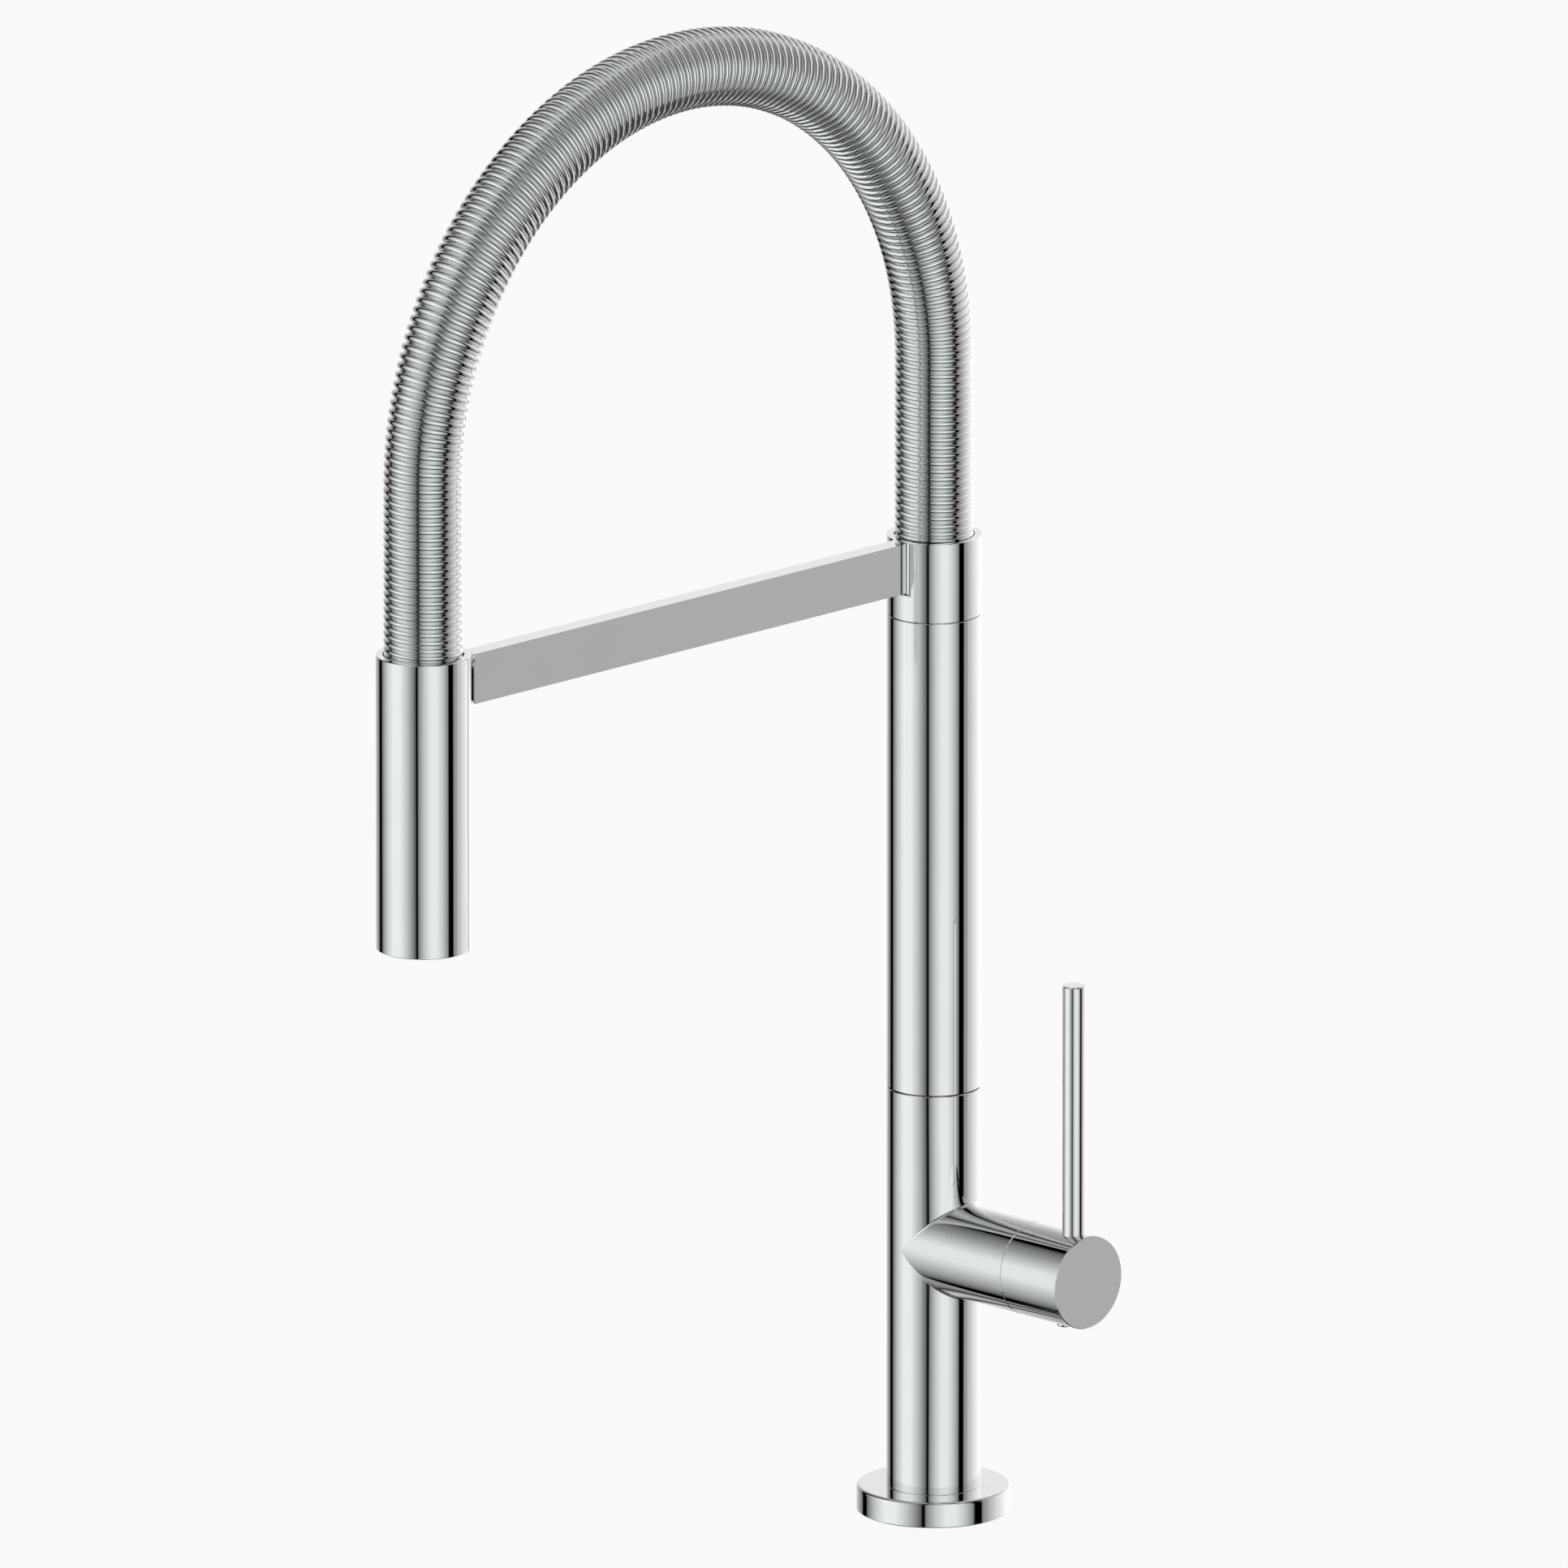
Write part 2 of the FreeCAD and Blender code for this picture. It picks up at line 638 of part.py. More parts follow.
def dock_pad():
    body = Part.makeLoft([pad_outline(HEAD_Y + COLUMN_R / 2), pad_outline(PAD_FACE_Y)], True, True)
    rim = [edge for edge in body.Edges if abs(edge.BoundBox.YMin - PAD_FACE_Y) < 0.01]
    body = body.makeFillet(0.6, rim)
    return body.cut(head_rod(COLUMN_R, HEAD_BOTTOM, HEAD_TOP)).cut(keeper_block())


def keeper_block():
    return block(-1.5, 1.5, PAD_FACE_Y - 2.8, PAD_FACE_Y - 0.8, PAD_MID_Z - 8, PAD_MID_Z + 8)


def hose_nut_upper():
    return hose_nut(288, 301, 1.9, HEAD_Y)


def hose_washer_upper():
    return head_ring(WASHER_R, WASHER_BORE_R, NECK_TOP, NECK_TOP + 1.5)


def filter_screen():
    body = head_rod(WASHER_BORE_R, NECK_TOP + 0.5, NECK_TOP + 0.9)
    holes = []
    for row in range(-3, 4):
        for column in range(-3, 4):
            x = 0.95 * (column + 0.5 * (row % 2))
            y = 0.82 * row
            if math.hypot(x, y) < 2.9:
                holes.append(head_rod(0.3, NECK_TOP, NECK_TOP + 1.5, x, y))
    return body.cut(holes)


def head_core():
    body = head_rod(SHELL_BORE_R, CORE_BOTTOM, CORE_TOP).fuse(head_rod(THREAD_R, CORE_TOP, NECK_TOP))
    body = body.cut(head_rod(AERATOR_R, CORE_BOTTOM - PAST, CHECK_BOTTOM))
    body = body.cut(head_rod(VALVE_R, CHECK_BOTTOM - PAST, VALVE_TOP + 0.5))
    return body.cut(head_rod(WATER_R, VALVE_TOP, NECK_TOP + PAST))


def check_valve_body():
    body = head_rod(VALVE_R - FIT, CHECK_BOTTOM, VALVE_TOP)
    body = body.cut(head_rod(5.2, CHECK_BOTTOM + 2.2, 278))
    body = body.cut(head_rod(3.0, 277, 284))
    body = body.cut(head_rod(1.3, CHECK_BOTTOM - PAST, CHECK_BOTTOM + 3))
    for step in range(6):
        angle = math.radians(60 * step)
        x = 3.4 * math.cos(angle)
        y = 3.4 * math.sin(angle)
        body = body.cut(head_rod(1.2, CHECK_BOTTOM - PAST, CHECK_BOTTOM + 3, x, y))
    return body


def check_poppet():
    disc = head_rod(4.6, 276, 277.9)
    nose = Part.makeCone(2.7, 1.2, 1.6, V(0, HEAD_Y, 277.9), Z_AXIS)
    return disc.fuse([nose, head_rod(1.2, 262.8, 276.5)])


def check_spring():
    return head_ring(2.5, 1.7, CHECK_BOTTOM + 2.2, 276)


def aerator_housing():
    body = head_rod(SHELL_BORE_R - FIT, HEAD_BOTTOM + 0.9, AERATOR_FLANGE_TOP)
    body = body.fuse(head_rod(AERATOR_R, AERATOR_FLANGE_TOP, AERATOR_TOP)).removeSplitter()
    return body.cut(head_rod(AERATOR_BORE_R, HEAD_BOTTOM, AERATOR_TOP + PAST))


def aerator_insert():
    body = head_rod(AERATOR_BORE_R, 233, 257)
    body = body.cut(head_rod(9.0, AERATOR_FLANGE_TOP, 254))
    holes = []
    for step in range(12):
        angle = math.radians(30 * step)
        holes.append(head_rod(0.8, 253, AERATOR_TOP, 6.5 * math.cos(angle), 6.5 * math.sin(angle)))
    for step in range(6):
        angle = math.radians(60 * step + 15)
        holes.append(head_rod(0.8, 253, AERATOR_TOP, 3.4 * math.cos(angle), 3.4 * math.sin(angle)))
    return body.cut(holes)


CELL_PITCH = 2.5
CELL_R = 1.22


def aerator_screen():
    """Honeycomb of hexagonal cells across the outlet."""
    body = head_rod(AERATOR_BORE_R, HEAD_BOTTOM + 1.7, 232.5)
    cells = []
    for row in range(-4, 5):
        for column in range(-4, 5):
            x = CELL_PITCH * (column + 0.5 * (row % 2))
            y = CELL_PITCH * row * math.sqrt(3) / 2
            if math.hypot(x, y) > AERATOR_BORE_R - CELL_R - 0.5:
                continue
            cell = hexagon(2 * CELL_R * math.cos(math.radians(30)), HEAD_BOTTOM, 234)
            cell.rotate(V(0, 0, 0), Z_AXIS, 30)
            cells.append(cell.translated(V(x, HEAD_Y + y, 0)))
    return body.cut(cells)


def aerator_seal():
    return head_ring(AERATOR_R, 8.5, AERATOR_TOP, AERATOR_TOP + 2)


NODES = {
    "base_flange": base_flange,
    "flange_gasket": flange_gasket,
    "valve_body": valve_body,
    "side_branch": side_branch,
    "inlet_manifold": inlet_manifold,
    "manifold_seal": manifold_seal,
    "hot_feed_tube": lambda: feed_tube(INLET_Y),
    "cold_feed_tube": lambda: feed_tube(-INLET_Y),
    "cartridge_seat": cartridge_seat,
    "cartridge_seals": cartridge_seals,
    "cartridge_base": cartridge_base,
    "fixed_disc": fixed_disc,
    "cartridge_housing": cartridge_housing,
    "cartridge_nut": cartridge_nut,
    "branch_dome": branch_dome,
    "swivel_retaining_screw": swivel_retaining_screw,
    "cartridge_rotor": cartridge_rotor,
    "stem_pivot_pin": stem_pivot_pin,
    "moving_disc": moving_disc,
    "disc_carrier": disc_carrier,
    "lever_stem": lever_stem,
    "handle_hub": handle_hub,
    "handle_cap": handle_cap,
    "lever_pin": lever_pin,
    "grub_screw": grub_screw,
    "screw_plug": screw_plug,
    "swivel_spigot": swivel_spigot,
    "spigot_o_rings": spigot_o_rings,
    "slip_ring": slip_ring,
    "swivel_tube": swivel_tube,
    "riser_pipe": riser_pipe,
    "holder_collar": holder_collar,
    "docking_arm": docking_arm,
    "arm_screw": arm_screw,
    "dock_magnet": dock_magnet,
    "hose_nipple": hose_nipple,
    "hose_washer_lower": hose_washer_lower,
    "hose_nut_lower": hose_nut_lower,
    "hose_ferrule_lower": hose_ferrule_lower,
    "spring_seat_lower": spring_seat_lower,
    "coil_spring": coil_spring,
    "inner_hose": inner_hose,
    "hose_ferrule_upper": hose_ferrule_upper,
    "spring_seat_upper": spring_seat_upper,
    "head_shell": head_shell,
    "dock_pad": dock_pad,
    "dock_keeper": keeper_block,
    "hose_nut_upper": hose_nut_upper,
    "hose_washer_upper": hose_washer_upper,
    "filter_screen": filter_screen,
    "head_core": head_core,
    "check_valve_body": check_valve_body,
    "check_poppet": check_poppet,
    "check_spring": check_spring,
    "aerator_housing": aerator_housing,
    "aerator_insert": aerator_insert,
    "aerator_screen": aerator_screen,
    "aerator_seal": aerator_seal,
}

os.makedirs("parts", exist_ok=True)
for node, make in NODES.items():
    shape = make()
    shape.exportStep(os.path.join("parts", node + ".step"))
    print(node, len(shape.Solids), round(shape.Volume, 1), "valid" if shape.isValid() else "NOT VALID")
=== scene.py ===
import json
import math

import bmesh
import bpy
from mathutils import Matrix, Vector


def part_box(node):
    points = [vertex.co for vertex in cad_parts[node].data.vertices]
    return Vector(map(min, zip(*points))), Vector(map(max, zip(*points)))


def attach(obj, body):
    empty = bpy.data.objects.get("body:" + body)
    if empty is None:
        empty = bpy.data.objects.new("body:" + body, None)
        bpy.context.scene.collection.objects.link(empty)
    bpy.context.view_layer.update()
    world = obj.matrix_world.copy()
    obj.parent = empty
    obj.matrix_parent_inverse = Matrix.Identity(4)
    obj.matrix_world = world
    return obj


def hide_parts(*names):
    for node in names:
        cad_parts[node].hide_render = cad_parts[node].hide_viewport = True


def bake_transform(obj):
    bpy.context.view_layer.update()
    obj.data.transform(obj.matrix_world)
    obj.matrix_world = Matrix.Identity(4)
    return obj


# Pull down kitchen mixer in polished chrome. Metres, +Z up, origin on the column axis at the deck.

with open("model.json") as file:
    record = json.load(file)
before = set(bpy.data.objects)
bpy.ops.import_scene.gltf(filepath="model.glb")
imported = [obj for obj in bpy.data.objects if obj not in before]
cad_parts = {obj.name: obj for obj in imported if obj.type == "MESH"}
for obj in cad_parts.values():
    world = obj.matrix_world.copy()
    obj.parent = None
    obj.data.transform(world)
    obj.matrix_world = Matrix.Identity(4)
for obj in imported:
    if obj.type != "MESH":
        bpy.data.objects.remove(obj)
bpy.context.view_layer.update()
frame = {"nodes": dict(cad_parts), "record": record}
nodes = frame["nodes"]
scene = bpy.context.scene

MM = 0.001

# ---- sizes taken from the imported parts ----
coil_low, coil_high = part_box("coil_spring")
COIL_R = coil_high.x
WIRE_DEPTH = 2.5 * MM
SEAT_FLOOR = 2 * MM             # thickness under the coil in the upper spring seat
HOSE_INSET = 4.5 * MM           # from the lower ferrule's flange to the hose's end
HEAD_Y = coil_low.y + COIL_R
ARCH_R = -HEAD_Y / 2
ARCH_BASE = coil_high.z - COIL_R - ARCH_R
COIL_START_Z = coil_low.z
COIL_END_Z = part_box("spring_seat_upper")[0].z + SEAT_FLOOR
HOSE_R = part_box("inner_hose")[1].x
HOSE_START_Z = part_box("hose_ferrule_lower")[0].z + HOSE_INSET
HOSE_END_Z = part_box("inner_hose")[0].z


# ---------------------------------------------------------------- finishes

def new_material(name):
    material = bpy.data.materials.new(name)
    material.use_nodes = True
    tree = material.node_tree
    shader = tree.nodes["Principled BSDF"]
    return material, tree, shader


def coordinates(tree, stretch=(1, 1, 1)):
    """Object coordinates, stretched to run a grain one way."""
    source = tree.nodes.new("ShaderNodeTexCoord")
    mapping = tree.nodes.new("ShaderNodeMapping")
    mapping.inputs["Scale"].default_value = stretch
    tree.links.new(source.outputs["Object"], mapping.inputs["Vector"])
    return mapping.outputs["Vector"]


def noise(tree, where, scale, detail=3.0, roughness=0.5):
    node = tree.nodes.new("ShaderNodeTexNoise")
    node.inputs["Scale"].default_value = scale
    node.inputs["Detail"].default_value = detail
    node.inputs["Roughness"].default_value = roughness
    tree.links.new(where, node.inputs["Vector"])
    return node.outputs["Fac"]


def spread(tree, value, low, high, start=0.3, end=0.7):
    """Maps a grey value onto a range, such as a roughness from low to high."""
    node = tree.nodes.new("ShaderNodeMapRange")
    node.inputs["From Min"].default_value = start
    node.inputs["From Max"].default_value = end
    node.inputs["To Min"].default_value = low
    node.inputs["To Max"].default_value = high
    tree.links.new(value, node.inputs["Value"])
    return node.outputs["Result"]


def two_tone(tree, value, first, second):
    """A colour that wanders between two close tones."""
    node = tree.nodes.new("ShaderNodeValToRGB")
    node.color_ramp.elements[0].position = 0.35
    node.color_ramp.elements[0].color = (*first, 1)
    node.color_ramp.elements[1].position = 0.65
    node.color_ramp.elements[1].color = (*second, 1)
    tree.links.new(value, node.inputs["Fac"])
    return node.outputs["Color"]


def relief(tree, shader, height, depth):
    """Surface relief of a given depth in metres."""
    node = tree.nodes.new("ShaderNodeBump")
    node.inputs["Strength"].default_value = 1.0
    node.inputs["Distance"].default_value = depth
    tree.links.new(height, node.inputs["Height"])
    tree.links.new(node.outputs["Normal"], shader.inputs["Normal"])


PATCHES = 45                # scale of the patches where a metal's gloss wanders


def metal(name, first, second, smooth, rough, grain=(1, 1, 1), grain_scale=900, depth=0.0):
    """Bare or plated metal: two tones, wandering gloss and a fine grain."""
    material, tree, shader = new_material(name)
    shader.inputs["Metallic"].default_value = 1.0
    where = coordinates(tree)
    patches = noise(tree, where, PATCHES, 4.0, 0.6)
    tree.links.new(two_tone(tree, patches, first, second), shader.inputs["Base Color"])
    along = coordinates(tree, grain)
    lines = noise(tree, along, grain_scale, 2.0)
    mixed = tree.nodes.new("ShaderNodeMath")
    mixed.operation = "MULTIPLY_ADD"
    mixed.inputs[1].default_value = 0.5
    tree.links.new(lines, mixed.inputs[0])
    halved = tree.nodes.new("ShaderNodeMath")
    halved.operation = "MULTIPLY"
    halved.inputs[1].default_value = 0.5
    tree.links.new(patches, halved.inputs[0])
    tree.links.new(halved.outputs["Value"], mixed.inputs[2])
    tree.links.new(spread(tree, mixed.outputs["Value"], smooth, rough), shader.inputs["Roughness"])
    if depth:
        relief(tree, shader, lines, depth)
    return material


def plastic(name, first, second, smooth, rough, grain_scale, depth, coat=0.0):
    """Moulded plastic, ceramic or rubber with a fine moulded texture."""
    material, tree, shader = new_material(name)
    where = coordinates(tree)
    patches = noise(tree, where, 60, 3.0)
    tree.links.new(two_tone(tree, patches, first, second), shader.inputs["Base Color"])
    fine = noise(tree, where, grain_scale, 3.0)
    tree.links.new(spread(tree, fine, smooth, rough), shader.inputs["Roughness"])
    relief(tree, shader, fine, depth)
    shader.inputs["Coat Weight"].default_value = coat
    shader.inputs["Coat Roughness"].default_value = 0.05
    return material


YARNS_ROUND = 24
YARNS_ALONG = 240


def braided_cover(name):
    """Woven black sleeve over the hose: two sets of slanting yarns round the tube."""
    material, tree, shader = new_material(name)
    uv = tree.nodes.new("ShaderNodeTexCoord")
    yarns = []
    for slant in (-1, 1):
        mapping = tree.nodes.new("ShaderNodeMapping")
        mapping.inputs["Rotation"].default_value = (0, 0, slant * math.radians(45))
        mapping.inputs["Scale"].default_value = (YARNS_ROUND, YARNS_ALONG, 1)
        wave = tree.nodes.new("ShaderNodeTexWave")
        wave.inputs["Scale"].default_value = 1.0
        wave.inputs["Distortion"].default_value = 0.4
        tree.links.new(uv.outputs["UV"], mapping.inputs["Vector"])
        tree.links.new(mapping.outputs["Vector"], wave.inputs["Vector"])
        yarns.append(wave.outputs["Fac"])
    top = tree.nodes.new("ShaderNodeMath")
    top.operation = "MAXIMUM"
    tree.links.new(yarns[0], top.inputs[0])
    tree.links.new(yarns[1], top.inputs[1])
    yarn_colour = two_tone(tree, top.outputs["Value"], (0.006, 0.006, 0.007), (0.030, 0.030, 0.032))
    tree.links.new(yarn_colour, shader.inputs["Base Color"])
    tree.links.new(spread(tree, top.outputs["Value"], 0.55, 0.36), shader.inputs["Roughness"])
    relief(tree, shader, top.outputs["Value"], 0.15 * MM)
    return material


finishes = {
    "chrome": metal(
        "polished_chrome_plate", (0.855, 0.862, 0.868), (0.872, 0.878, 0.884), 0.015, 0.045),
    "spring_chrome": metal(
        "chrome_plated_wire", (0.82, 0.83, 0.84), (0.86, 0.87, 0.88), 0.035, 0.09, grain_scale=2500),
    "brass": metal(
        "turned_brass", (0.70, 0.50, 0.22), (0.80, 0.60, 0.30), 0.18, 0.36, (1, 1, 14), 260, 0.02 * MM),
    "copper": metal(
        "drawn_copper", (0.72, 0.36, 0.24), (0.80, 0.45, 0.31), 0.16, 0.32, (12, 12, 1), 200, 0.01 * MM),
    "steel": metal(
        "plain_stainless_steel", (0.53, 0.54, 0.55), (0.64, 0.64, 0.65), 0.20, 0.38, (1, 1, 12), 420, 0.01 * MM),
    "magnet": metal("nickel_plated_magnet", (0.60, 0.58, 0.54), (0.67, 0.65, 0.61), 0.10, 0.20),
    "rubber": plastic(
        "black_rubber", (0.012, 0.012, 0.012), (0.022, 0.022, 0.022), 0.52, 0.70, 1400, 0.02 * MM),
    "hose_black": braided_cover("braided_hose_cover"),
    "ceramic": plastic(
        "polished_alumina", (0.80, 0.78, 0.73), (0.85, 0.84, 0.80), 0.08, 0.16, 700, 0.002 * MM, 0.4),
    "plastic_white": plastic(
        "natural_acetal", (0.74, 0.74, 0.71), (0.80, 0.80, 0.78), 0.34, 0.46, 900, 0.008 * MM),
    "plastic_grey": plastic(
        "grey_moulding", (0.090, 0.098, 0.108), (0.115, 0.122, 0.135), 0.40, 0.55, 1100, 0.012 * MM),
    "plastic_black": plastic(
        "black_moulding", (0.010, 0.010, 0.010), (0.020, 0.020, 0.020), 0.36, 0.52, 1100, 0.012 * MM),
}

for entry in frame["record"]["subparts"]:
    finish = finishes[entry["material_slot"]]
    part = nodes[entry["node"]]
    if not part.material_slots:
        part.data.materials.append(finish)
    for holder in part.material_slots:
        holder.material = finish


# ---------------------------------------------------------------- modelling helpers

def deselect():
    if bpy.context.object and bpy.context.object.mode != "OBJECT":
        bpy.ops.object.mode_set(mode="OBJECT")
    bpy.ops.object.select_all(action="DESELECT")


def apply_all(piece):
    """Applies every modifier on the piece, in order."""
    deselect()
    piece.select_set(True)
    bpy.context.view_layer.objects.active = piece
    for modifier in list(piece.modifiers):
        bpy.ops.object.modifier_apply(modifier=modifier.name)


def settle(piece, name, slot):
    """Puts the piece's place into its mesh and gives it its name and finish."""
    deselect()
    piece.select_set(True)
    bpy.context.view_layer.objects.active = piece
    bpy.ops.object.transform_apply(location=True, rotation=True, scale=True)
    piece.name = name
    piece.data.name = name
    piece.data.materials.clear()
    piece.data.materials.append(finishes[slot])


QUARTER_CIRCLE = 0.5522847      # handle length of a Bezier quarter circle, as a share of its radius
LEG_HANDLE = 10 * MM


def arch_line(start_z, end_z):
    """Centre line of the hose: up the column leg, over the half circle and down the head leg."""
    half = ARCH_R * QUARTER_CIRCLE
    top = ARCH_BASE + ARCH_R
    points = [
        ((0, 0, start_z), None, (0, 0, start_z + LEG_HANDLE)),
        ((0, 0, ARCH_BASE), (0, 0, ARCH_BASE - LEG_HANDLE), (0, 0, ARCH_BASE + half)),
        ((0, -ARCH_R, top), (0, half - ARCH_R, top), (0, -ARCH_R - half, top)),
        ((0, HEAD_Y, ARCH_BASE), (0, HEAD_Y, ARCH_BASE + half), (0, HEAD_Y, ARCH_BASE - LEG_HANDLE)),
        ((0, HEAD_Y, end_z), (0, HEAD_Y, end_z + LEG_HANDLE), None),
    ]
    curve = bpy.data.curves.new("arch_line", "CURVE")
    curve.dimensions = "3D"
    curve.resolution_u = 48
    spline = curve.splines.new("BEZIER")
    spline.bezier_points.add(len(points) - 1)
    for point, (place, before, after) in zip(spline.bezier_points, points):
        point.co = place
        point.handle_left_type = point.handle_right_type = "FREE"
        point.handle_left = before or place
        point.handle_right = after or place
    line = bpy.data.objects.new("arch_line", curve)
    scene.collection.objects.link(line)
    length = (ARCH_BASE - start_z) + math.pi * ARCH_R + (ARCH_BASE - end_z)
    return line, length


def lay_along(piece, line):
    """Bends an upright piece along the line and removes the line."""
    bend = piece.modifiers.new("over_the_arch", "CURVE")
    bend.object = line
    bend.deform_axis = "POS_Z"
    apply_all(piece)
    bpy.data.objects.remove(line)


# ---------------------------------------------------------------- the spring and the hose inside it

LEG_PITCH = 2.57 * MM
ARCH_PITCH = 2.82 * MM
CLOSED_PITCH = 2.22 * MM
CLOSED_LENGTH = 4 * MM          # of closed turns at each end
LOOSENING = 45 * MM             # length over which the pitch grows at each end of the arch
SPARE_TURNS = 3                 # wound past each end, then ground away
STEPS_PER_TURN = 24
CREST_R = 1.03 * MM


def pitch_at(along, length, leg_a, leg_b):
    """Pitch of the coil at a place along the hose: closed at both ends, looser over the arch."""
    ends = min(along, length - along)
    if ends < CLOSED_LENGTH:
        return CLOSED_PITCH
    leg = leg_a if along < length / 2 else leg_b
    share = min(1.0, max(0.0, (ends - leg) / LOOSENING))
    share = share * share * (3 - 2 * share)
    return LEG_PITCH + (ARCH_PITCH - LEG_PITCH) * share


def wire_section():
    """Outline of the profiled wire: height as a share of the pitch, and radius from the coil's axis."""
    crest = [
        (CREST_R * math.sin(math.radians(a)), COIL_R - CREST_R * (1 - math.cos(math.radians(a))))
        for a in (-78, -60, -40, -20, 0, 20, 40, 60, 78)
    ]
    side = 0.497 * LEG_PITCH
    root = [(1.08 * MM, COIL_R - 1.00 * MM), (1.14 * MM, COIL_R - 1.08 * MM), (side, COIL_R - 1.10 * MM)]
    inner = [(side, COIL_R - WIRE_DEPTH)]
    upper = crest + root + inner
    lower = [(-z, radius) for z, radius in reversed(root + inner)]
    return [(z / LEG_PITCH, radius) for z, radius in lower + upper]


def volume(piece):
    """Enclosed volume, negative where the faces point inwards."""
    return bmesh.from_edit_mesh(piece.data).calc_volume(signed=True)


def wound_spring():
    """Closed left hand coil of profiled wire, its ends ground flat."""
    line, length = arch_line(COIL_START_Z, COIL_END_Z)
    leg_a = ARCH_BASE - COIL_START_Z
    leg_b = ARCH_BASE - COIL_END_Z
    # heights of the wire's middle at each step of the winding, with spare turns past both ends
    heights = [-SPARE_TURNS * CLOSED_PITCH]
    while heights[-1] < length + SPARE_TURNS * CLOSED_PITCH:
        heights.append(heights[-1] + pitch_at(heights[-1], length, leg_a, leg_b) / STEPS_PER_TURN)
    turns = (len(heights) - 1) // STEPS_PER_TURN - 2
    outline = wire_section()
    deselect()
    bpy.ops.mesh.primitive_circle_add(vertices=len(outline), radius=0.5)
    coil = bpy.context.object
    for vertex, (share, radius) in zip(coil.data.vertices, outline):
        vertex.co = (radius, 0, share)
    wind = coil.modifiers.new("winding", "SCREW")
    wind.angle = -2 * math.pi
    wind.screw_offset = 1.0
    wind.iterations = turns
    wind.steps = wind.render_steps = STEPS_PER_TURN
    wind.use_merge_vertices = False
    apply_all(coil)
    # the even winding is drawn to its real pitch, each turn meeting the next, and ground flat at both ends
    sections = []
    for number, vertex in enumerate(coil.data.vertices):
        step = number // len(outline)
        share = vertex.co.z - step / STEPS_PER_TURN
        middle = heights[step + STEPS_PER_TURN]
        following = heights[step + 2 * STEPS_PER_TURN]
        before = heights[step]
        height = middle + share * (following - middle if share > 0 else middle - before)
        if step == len(sections):
            sections.append([])
        sections[step].append(height)
        vertex.co.z = min(max(height, 0.0), length)
    first = max(step for step, section in enumerate(sections) if max(section) <= 0)
    last = min(step for step, section in enumerate(sections) if min(section) >= length)
    coil.data.update()
    for vertex in coil.data.vertices:
        vertex.select = not first <= vertex.index // len(outline) <= last
    bpy.ops.object.mode_set(mode="EDIT")
    bpy.ops.mesh.select_mode(type="VERT")
    bpy.ops.mesh.delete(type="VERT")
    # the wire runs out to an edge at each ground end
    bpy.ops.object.mode_set(mode="OBJECT")
    ends = len(coil.data.vertices) - len(outline)
    for vertex in coil.data.vertices:
        vertex.select = vertex.index < len(outline) or vertex.index >= ends
    bpy.ops.object.mode_set(mode="EDIT")
    bpy.ops.mesh.remove_doubles(threshold=0.002 * MM)
    bpy.ops.mesh.select_all(action="SELECT")
    bpy.ops.mesh.dissolve_degenerate(threshold=0.0005 * MM)
    if volume(coil) < 0:
        bpy.ops.mesh.flip_normals()
    bpy.ops.object.mode_set(mode="OBJECT")
    bpy.ops.object.shade_smooth_by_angle(angle=math.radians(60))
    lay_along(coil, line)
    settle(coil, "spring_turns", "spring_chrome")
    return coil


HOSE_CUTS = 180                 # bends the hose is divided into along its length


def hose_inside():
    """Black hose from ferrule to ferrule, bent over the arch with the spring."""
    line, length = arch_line(HOSE_START_Z, HOSE_END_Z)
    deselect()
    bpy.ops.mesh.primitive_cylinder_add(vertices=40, radius=HOSE_R, depth=length, location=(0, 0, length / 2))
    hose = bpy.context.object
    bpy.ops.object.transform_apply(location=True, rotation=True, scale=True)
    bpy.ops.object.mode_set(mode="EDIT")
    bpy.ops.mesh.select_all(action="DESELECT")
    bpy.ops.mesh.select_mode(type="EDGE")
    bpy.ops.object.mode_set(mode="OBJECT")
    for edge in hose.data.edges:
        a, b = (hose.data.vertices[i].co for i in edge.vertices)
        edge.select = abs(a.z - b.z) > length / 2
    bpy.ops.object.mode_set(mode="EDIT")
    bpy.ops.mesh.subdivide(number_cuts=HOSE_CUTS)
    bpy.ops.object.mode_set(mode="OBJECT")
    bpy.ops.object.shade_smooth_by_angle(angle=math.radians(50))
    lay_along(hose, line)
    settle(hose, "braided_hose", "hose_black")
    return hose


spring = wound_spring()
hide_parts("coil_spring")
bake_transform(spring)

hose = hose_inside()
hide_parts("inner_hose")
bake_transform(hose)


# ---------------------------------------------------------------- braze fillet where the branch meets the column

BRANCH_R = (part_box("side_branch")[1].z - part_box("side_branch")[0].z) / 2
BRANCH_Z = (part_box("side_branch")[1].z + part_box("side_branch")[0].z) / 2
FILLET_R = 1.0 * MM
FILLET_REACH = 78            # degrees each way round the seam


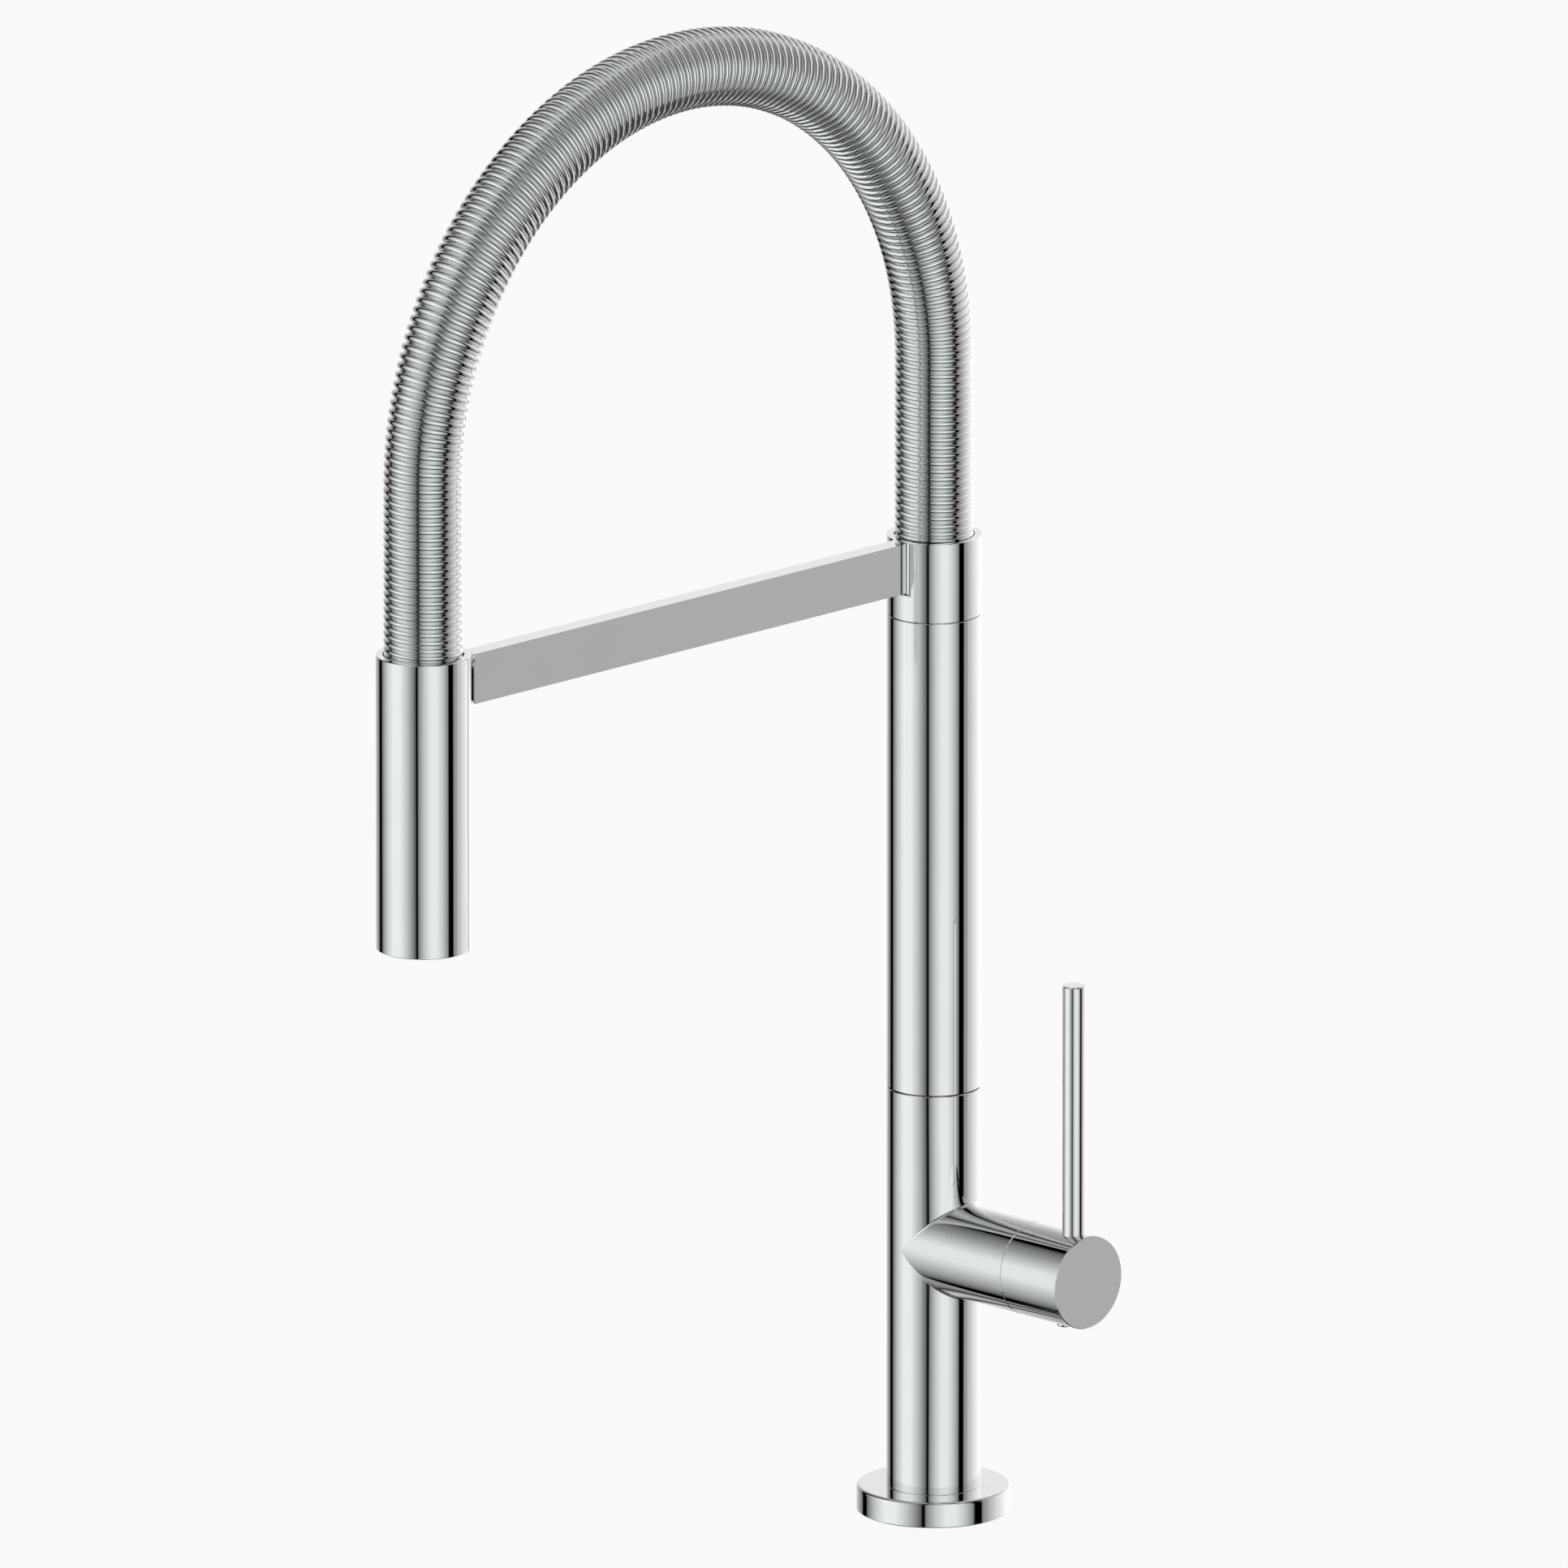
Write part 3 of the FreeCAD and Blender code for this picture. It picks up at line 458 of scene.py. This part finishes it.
def braze_fillet():
    """Hollow bead in the corner between the two equal tubes; it dies out where they run level."""
    far = BRANCH_R + FILLET_R
    around, across = 48, 8
    points, faces = [], []
    for side in (1, -1):
        first = len(points)
        for i in range(around + 1):
            t = math.radians(FILLET_REACH * (2 * i / around - 1))
            y, q = far * math.sin(t), far * math.cos(t)
            centre = Vector((q, y, BRANCH_Z + side * q))
            to_column = Vector((-q, -y, 0)).normalized()
            to_branch = Vector((0, -y, -side * q)).normalized()
            gap = to_column.angle(to_branch)
            for j in range(across + 1):
                u = j / across
                direction = (to_column * math.sin((1 - u) * gap) + to_branch * math.sin(u * gap)) / math.sin(gap)
                sunk = 0.03 * MM if j in (0, across) else 0.0
                points.append(centre + direction * (FILLET_R + sunk))
            inner = BRANCH_R - 0.05 * MM
            across_seam, along_seam = inner * math.cos(t), inner * math.sin(t)
            points.append(Vector((across_seam, along_seam, BRANCH_Z + side * across_seam)))
        ring_size = across + 2
        for i in range(around):
            for j in range(ring_size):
                a = first + i * ring_size + j
                b = first + i * ring_size + (j + 1) % ring_size
                faces.append((a, b, b + ring_size, a + ring_size))
        faces.append(tuple(range(first, first + ring_size)))
        faces.append(tuple(range(first + around * ring_size, first + (around + 1) * ring_size)))
    mesh = bpy.data.meshes.new("braze_fillet")
    mesh.from_pydata(points, [], faces)
    bead = bpy.data.objects.new("braze_fillet", mesh)
    scene.collection.objects.link(bead)
    deselect()
    bead.select_set(True)
    bpy.context.view_layer.objects.active = bead
    bpy.ops.object.mode_set(mode="EDIT")
    bpy.ops.mesh.select_all(action="SELECT")
    bpy.ops.mesh.normals_make_consistent(inside=False)
    bpy.ops.object.mode_set(mode="OBJECT")
    bpy.ops.object.shade_smooth_by_angle(angle=math.radians(40))
    settle(bead, "braze_fillet", "chrome")
    return bead


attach(braze_fillet(), "base")


# ---------------------------------------------------------------- studio

# soft screens standing round the tap, by angle in degrees from straight behind the camera:
# first edge, brightest place, last edge, reach of the light, light level, share of red (less is cooler)
SCREENS = (
    (-118, -70, -20, 60, 0.85, 0.97),
    (-11, 25, 61, 50, 0.80, 0.97),
    (79, 150, 225, 95, 0.95, 1.0),
)
SOFT_EDGE = 3               # degrees over which a screen's edge goes dark
FALLOFF = 1.5               # how sharply the light falls away from the brightest place
# light at each height above or below eye level
SCREEN_HEIGHTS = ((-90, 0.1), (-50, 0.1), (-44, 0.6), (-30, 0.7), (-10, 1.0), (10, 1.0), (35, 0.5), (90, 0.5))
ROOM_LIGHT = 1.3
WHITE_SEEN = 0.76           # what the camera itself sees beyond the tap, as a share of the room's light
CAMERA_AZIMUTH = -45.0      # direction of the camera from the tap, seen from above


def screen_stops():
    """Light right round the room: three screens, each fading from its brightest place, with dark gaps."""
    steps = 6
    stops = []
    for first, brightest, last, reach, level, red in SCREENS:
        stops.append((first - SOFT_EDGE, (0, 0, 0)))
        for step in range(steps):
            degrees = first + (last - first) * step / (steps - 1)
            light = level * math.cos(math.radians(90 * (degrees - brightest) / reach)) ** FALLOFF
            stops.append((degrees, (light * red, light, light)))
        stops.append((last + SOFT_EDGE, (0, 0, 0)))
    # the last screen runs on past the far side of the room, where the ramp starts again
    before = max(stop for stop in stops if stop[0] <= 180)
    after = min(stop for stop in stops if stop[0] > 180)
    share = (180 - before[0]) / (after[0] - before[0])
    join = tuple(one + (other - one) * share for one, other in zip(before[1], after[1]))
    turned = [(degrees - 360 if degrees > 180 else degrees, colour) for degrees, colour in stops]
    return [(-180, join), *sorted(turned), (180, join)]


def ramp(tree, value, stops):
    """Straight line colour ramp through the stops."""
    node = tree.nodes.new("ShaderNodeValToRGB")
    elements = node.color_ramp.elements
    node.color_ramp.interpolation = "LINEAR"
    for number, (place, colour) in enumerate(stops):
        if number == 0:
            stop = elements[0]
            stop.position = place
        elif number == len(stops) - 1:
            stop = elements[-1]
            stop.position = place
        else:
            stop = elements.new(place)
        stop.color = (*colour, 1)
    tree.links.new(value, node.inputs["Fac"])
    return node.outputs["Color"]


def light_room():
    """Soft white room with pale screens and three narrow dark gaps standing round the tap."""
    world = bpy.data.worlds.new("studio")
    scene.world = world
    world.use_nodes = True
    tree = world.node_tree
    tree.nodes.clear()
    output = tree.nodes.new("ShaderNodeOutputWorld")
    background = tree.nodes.new("ShaderNodeBackground")
    tree.links.new(background.outputs["Background"], output.inputs["Surface"])
    direction = tree.nodes.new("ShaderNodeTexCoord")
    split = tree.nodes.new("ShaderNodeSeparateXYZ")
    tree.links.new(direction.outputs["Generated"], split.inputs["Vector"])
    # turned so that the ramp's middle is straight behind the camera
    turn = tree.nodes.new("ShaderNodeVectorRotate")
    turn.rotation_type = "Z_AXIS"
    turn.inputs["Angle"].default_value = math.radians(-CAMERA_AZIMUTH)
    tree.links.new(direction.outputs["Generated"], turn.inputs["Vector"])
    turned = tree.nodes.new("ShaderNodeSeparateXYZ")
    tree.links.new(turn.outputs["Vector"], turned.inputs["Vector"])
    angle = tree.nodes.new("ShaderNodeMath")
    angle.operation = "ARCTAN2"
    tree.links.new(turned.outputs["Y"], angle.inputs[0])
    tree.links.new(turned.outputs["X"], angle.inputs[1])
    share = tree.nodes.new("ShaderNodeMath")
    share.operation = "MULTIPLY_ADD"
    share.inputs[1].default_value = 1 / (2 * math.pi)
    share.inputs[2].default_value = 0.5
    tree.links.new(angle.outputs["Value"], share.inputs[0])
    screens = ramp(tree, share.outputs["Value"], [
        ((degrees + 180) / 360, colour) for degrees, colour in screen_stops()])
    rise = tree.nodes.new("ShaderNodeMath")
    rise.operation = "ARCSINE"
    tree.links.new(split.outputs["Z"], rise.inputs[0])
    rise_share = tree.nodes.new("ShaderNodeMath")
    rise_share.operation = "MULTIPLY_ADD"
    rise_share.inputs[1].default_value = 1 / math.pi
    rise_share.inputs[2].default_value = 0.5
    tree.links.new(rise.outputs["Value"], rise_share.inputs[0])
    heights = ramp(tree, rise_share.outputs["Value"], [
        ((degrees + 90) / 180, (level, level, level)) for degrees, level in SCREEN_HEIGHTS])
    lit = tree.nodes.new("ShaderNodeMix")
    lit.data_type = "RGBA"
    lit.blend_type = "MULTIPLY"
    lit.inputs["Factor"].default_value = 1.0
    tree.links.new(screens, lit.inputs["A"])
    tree.links.new(heights, lit.inputs["B"])
    # the camera itself sees plain white
    rays = tree.nodes.new("ShaderNodeLightPath")
    seen = tree.nodes.new("ShaderNodeMix")
    seen.data_type = "RGBA"
    seen.inputs["B"].default_value = (WHITE_SEEN, WHITE_SEEN, WHITE_SEEN, 1)
    tree.links.new(rays.outputs["Is Camera Ray"], seen.inputs["Factor"])
    tree.links.new(lit.outputs["Result"], seen.inputs["A"])
    tree.links.new(seen.outputs["Result"], background.inputs["Color"])
    background.inputs["Strength"].default_value = ROOM_LIGHT


FLOOR_LIGHT = 0.905


def pale_floor():
    """Plain white table with a faint contact shadow."""
    deselect()
    bpy.ops.mesh.primitive_plane_add(size=60, location=(0, 0, -0.2 * MM))
    floor = bpy.context.object
    floor.name = "floor"
    material, tree, shader = new_material("pale_floor")
    shader.inputs["Base Color"].default_value = (0.12, 0.12, 0.12, 1)
    shader.inputs["Roughness"].default_value = 1.0
    shader.inputs["Specular IOR Level"].default_value = 0.0
    shader.inputs["Emission Color"].default_value = (1, 1, 1, 1)
    shader.inputs["Emission Strength"].default_value = FLOOR_LIGHT
    floor.data.materials.append(material)
    floor.visible_glossy = False
    floor.visible_diffuse = False


CAMERA_RISE = 15                # degrees above the horizon
VIEW_WIDTH = 0.49343            # seen across the picture at the aim
AIM = (-0.04741, 0.22911, 0.13)  # to the camera's right, upwards and towards the camera, from the origin


def place_camera():
    """Long lens from the lever side, a little above the tap."""
    azimuth = math.radians(CAMERA_AZIMUTH)
    elevation = math.radians(CAMERA_RISE)
    level = math.cos(elevation)
    back = Vector((level * math.cos(azimuth), level * math.sin(azimuth), math.sin(elevation)))
    right = Vector((-math.sin(azimuth), math.cos(azimuth), 0))
    up = back.cross(right)
    aim = right * AIM[0] + up * AIM[1] + back * AIM[2]
    lens = bpy.data.cameras.new("camera")
    lens.lens = 1500
    lens.sensor_width = 36
    distance = VIEW_WIDTH * lens.lens / lens.sensor_width
    lens.clip_start = 1.0
    lens.clip_end = 100
    camera = bpy.data.objects.new("camera", lens)
    scene.collection.objects.link(camera)
    camera.location = aim + back * distance
    camera.rotation_euler = back.to_track_quat("Z", "Y").to_euler()
    scene.camera = camera


light_room()
pale_floor()
place_camera()
scene.view_settings.view_transform = "Standard"

deselect()
bpy.context.view_layer.update()
